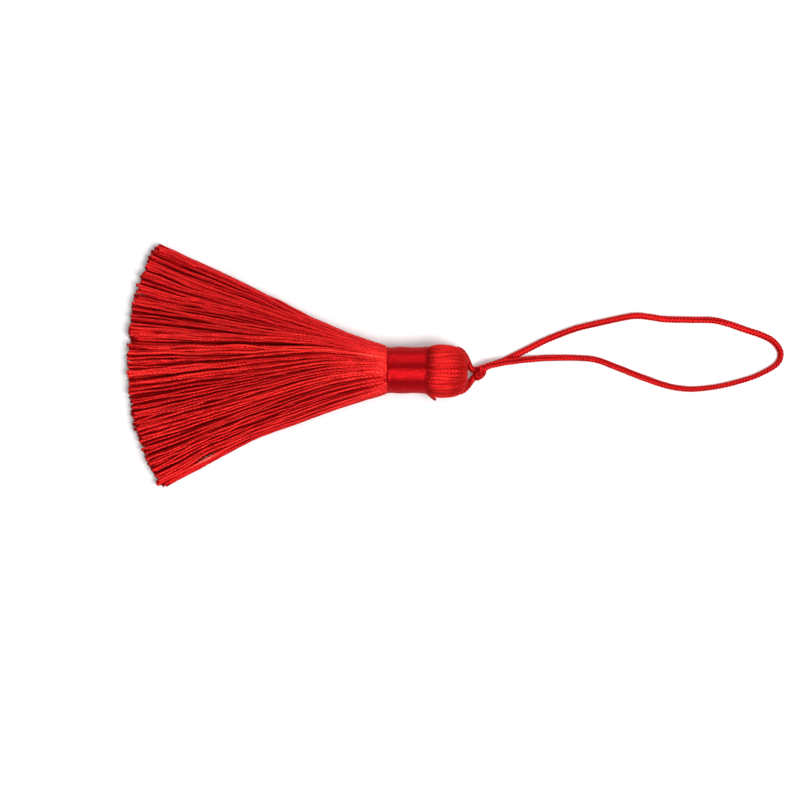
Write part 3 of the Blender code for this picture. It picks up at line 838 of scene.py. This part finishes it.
def raised_silk(name, roughness, low, high, clear=0.08, shine=0.65, body_red=SILK_RED,
                high_red=BRIGHT_RED):
    """Dyed silk with painted shade, a deeper red where the relief is near low, and painted highlights."""
    material, tree, shader = silk_shader(name, roughness, clear, shine)
    relief = add_node(tree, "ShaderNodeAttribute", attribute_name="relief")
    coords = add_node(tree, "ShaderNodeTexCoord")
    fibres = add_node(tree, "ShaderNodeTexNoise",
                      {"Vector": coords.outputs["Object"], "Scale": 1 / FIBRE_SIZE, "Detail": 4.0})
    # The number read here holds the depth of dye, and on the skirt also painted light and shade
    dye = add_node(tree, "ShaderNodeAttribute", attribute_name="shade")
    tone = add_node(tree, "ShaderNodeMath", {0: dye.outputs["Fac"], 1: 0.22, 2: fibres.outputs["Fac"]},
                    operation="MULTIPLY_ADD")
    body = add_node(tree, "ShaderNodeMix",
                    {"Factor": tone.outputs[0], FIRST: body_red, SECOND: high_red}, data_type="RGBA")
    # Painted highlight: where the number runs highest the red turns pale
    glint = add_node(tree, "ShaderNodeMapRange",
                     {"Value": tone.outputs[0], "From Min": 1.35, "From Max": 2.4})
    glossy = add_node(tree, "ShaderNodeMix",
                      {"Factor": glint.outputs["Result"], FIRST: body.outputs[MIXED],
                       SECOND: PALE_RED}, data_type="RGBA")
    lit = add_node(tree, "ShaderNodeMapRange",
                   {"Value": relief.outputs["Fac"], "From Min": low, "From Max": high})
    raised = add_node(tree, "ShaderNodeMix",
                      {"Factor": lit.outputs["Result"], FIRST: DEEP_RED,
                       SECOND: glossy.outputs[MIXED]}, data_type="RGBA")
    finish_silk(tree, shader, raised.outputs[MIXED], fibres.outputs["Fac"], depth=FIBRE_DEPTH,
                strength=0.5)
    return material


# %% Finishes of the top yarns, head, binding and cord
# Silk yarn with its filaments lying side by side on top: each ply has a clear gleam
twisted_silk = raised_silk("dyed_two_ply_silk_twist", roughness=0.34, low=0.50, high=0.97, clear=0.90)
# The same yarn pulled tight over the fold: its plies close up, so it looks smoother and fuller
head_silk = raised_silk("dyed_two_ply_silk_fold", roughness=0.34, low=0.07, high=0.74)
# Fine silk thread, hard-twisted and wound tight: close and hard, so darker with a sharp gleam
binding_silk = raised_silk("dyed_fine_wound_thread", roughness=0.24, low=0.32, high=0.94,
                           body_red=THREAD_RED, high_red=SILK_RED)
# Its cut end has frayed: loose filaments point all ways and scatter the light, so it is dull
tail_silk = raised_silk("dyed_fine_thread_end", roughness=0.50, low=-0.7, high=-0.1, shine=0.2,
                        body_red=THREAD_RED, high_red=SILK_RED)
# Cord plaited from four silk strands: each plait bulges and gleams, with a dark notch between
braid_silk = raised_silk("dyed_plaited_silk_cord", roughness=0.34, low=0.36, high=0.98)

# %% Give each piece its finish, its place and what it stands for
for thing, material, slot, node in (
        *((piece, twisted_silk, "yarn", "thread_bundle") for piece in skirt_top),
        (skirt_under, skirt_silk, "yarn", "thread_bundle"),
        (head, head_silk, "yarn", "thread_bundle"),
        (binding, binding_silk, "binding_thread", "neck_wrap"),
        (binding_tail, tail_silk, "binding_thread", "neck_wrap"),
        (knot, braid_silk, "braided_cord", "cord_knot")):
    thing.data.materials.append(material)
    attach(thing, "root")
    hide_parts(node)
hanging_cord.data.materials.append(braid_silk)
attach(hanging_cord, "root")
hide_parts("cord_loop", "cord_leg_upper", "cord_leg_lower")

# %% [markdown]
# ## Table and light
#
# The table is plain white and brightly lit, so that it all but disappears and only a soft shadow
# beside the tassel shows where it lies. Two soft boxes above light the table and the diffuse side
# of the silk. Thread bends light across itself, so a narrow light lying along the tassel gives
# each yarn, and the binding, one long gleam. Two strips do that: one leans to the near side, and
# the other is low on the far side. The strips are left out of the diffuse light, and the boxes
# out of reflections, so gleams and shadow can each be set without moving the other.

# %% White table
# In metres, far wider than the camera sees
TABLE_HALF = 1.5
CARD_WHITE = linear("#F2F2F2")
corners = [(x * TABLE_HALF, y * TABLE_HALF, 0) for x, y in ((-1, -1), (1, -1), (1, 1), (-1, 1))]
table_mesh = bpy.data.meshes.new("white_table")
table_mesh.from_pydata(corners, [], [(0, 1, 2, 3)])
table = bpy.data.objects.new("white_table", table_mesh)
bpy.context.scene.collection.objects.link(table)
# Uncoated white card: rough paper without a gleam, on which only the soft shadow shows
card = bpy.data.materials.new("matt_white_card")
card.use_nodes = True
card_shader = card.node_tree.nodes["Principled BSDF"]
card_shader.inputs["Base Color"].default_value = CARD_WHITE
card_shader.inputs["Roughness"].default_value = 0.9
card_shader.inputs["Specular IOR Level"].default_value = 0.1
table_mesh.materials.append(card)
print("table, m:", 2 * TABLE_HALF, "square")

# %% Soft boxes and strips
# Metres from the tassel, for all of them
LAMP_DISTANCE = 0.6
# Name, tilts in degrees, sides in metres, watts, and the rays that do not see it. The strips show
# only as the long gleams on the silk. The soft boxes light the table and stay out of reflections.
LAMPS = (("near_strip_light", 4, -23, (0.46, 0.10), 2.9, "visible_diffuse"),
         ("far_strip_light", 4, 57, (0.46, 0.15), 1.45, "visible_diffuse"),
         ("overhead_soft_box", 22, -14, (0.30, 0.20), 3.0, "visible_glossy"),
         ("far_soft_box", 14, 9, (0.30, 0.20), 0.8, "visible_glossy"))


def soft_box(name, tilt_x, tilt_y, size, power):
    """An area light aimed at the tassel from a tilt off vertical, in degrees, towards +X and +Y.

    Its first side stays level along X, and the second is square to that and to the ray of light.
    """
    lamp = bpy.data.objects.new(name, bpy.data.lights.new(name, "AREA"))
    lamp.data.shape = "RECTANGLE"
    lamp.data.size, lamp.data.size_y = size
    lamp.data.energy = power
    ray = np.array([np.tan(np.radians(tilt_x)), np.tan(np.radians(tilt_y)), 1.0])
    ray /= np.linalg.norm(ray)
    lamp.location = (ray * LAMP_DISTANCE).tolist()
    level = np.array([1.0, 0.0, 0.0]) - ray * ray[0]
    level /= np.linalg.norm(level)
    lamp.rotation_euler = Matrix((level, np.cross(ray, level), ray)).transposed().to_euler()
    bpy.context.scene.collection.objects.link(lamp)
    return lamp


for name, tilt_x, tilt_y, size, power, unseen in LAMPS:
    lamp = soft_box(name, tilt_x, tilt_y, size, power)
    setattr(lamp, unseen, False)
    print(name, "at, m:", [round(value, 2) for value in lamp.location])

# %% Surrounding light
# The walls of the studio are white and its ceiling is grey, so the sky darkens upwards
WALL_LIGHT = 0.62
CEILING_LIGHT = 0.38
world = bpy.data.worlds.new("studio")
world.use_nodes = True
sky = add_node(world.node_tree, "ShaderNodeTexCoord")
height = add_node(world.node_tree, "ShaderNodeSeparateXYZ", {0: sky.outputs["Generated"]})
glow = add_node(world.node_tree, "ShaderNodeMapRange",
                {"Value": height.outputs["Z"], "To Min": WALL_LIGHT, "To Max": CEILING_LIGHT})
background = world.node_tree.nodes["Background"]
world.node_tree.links.new(glow.outputs["Result"], background.inputs["Strength"])
background.inputs["Color"].default_value = (1, 1, 1, 1)
bpy.context.scene.world = world
bpy.context.scene.view_settings.view_transform = "Standard"
print("sky: walls", WALL_LIGHT, "ceiling", CEILING_LIGHT)
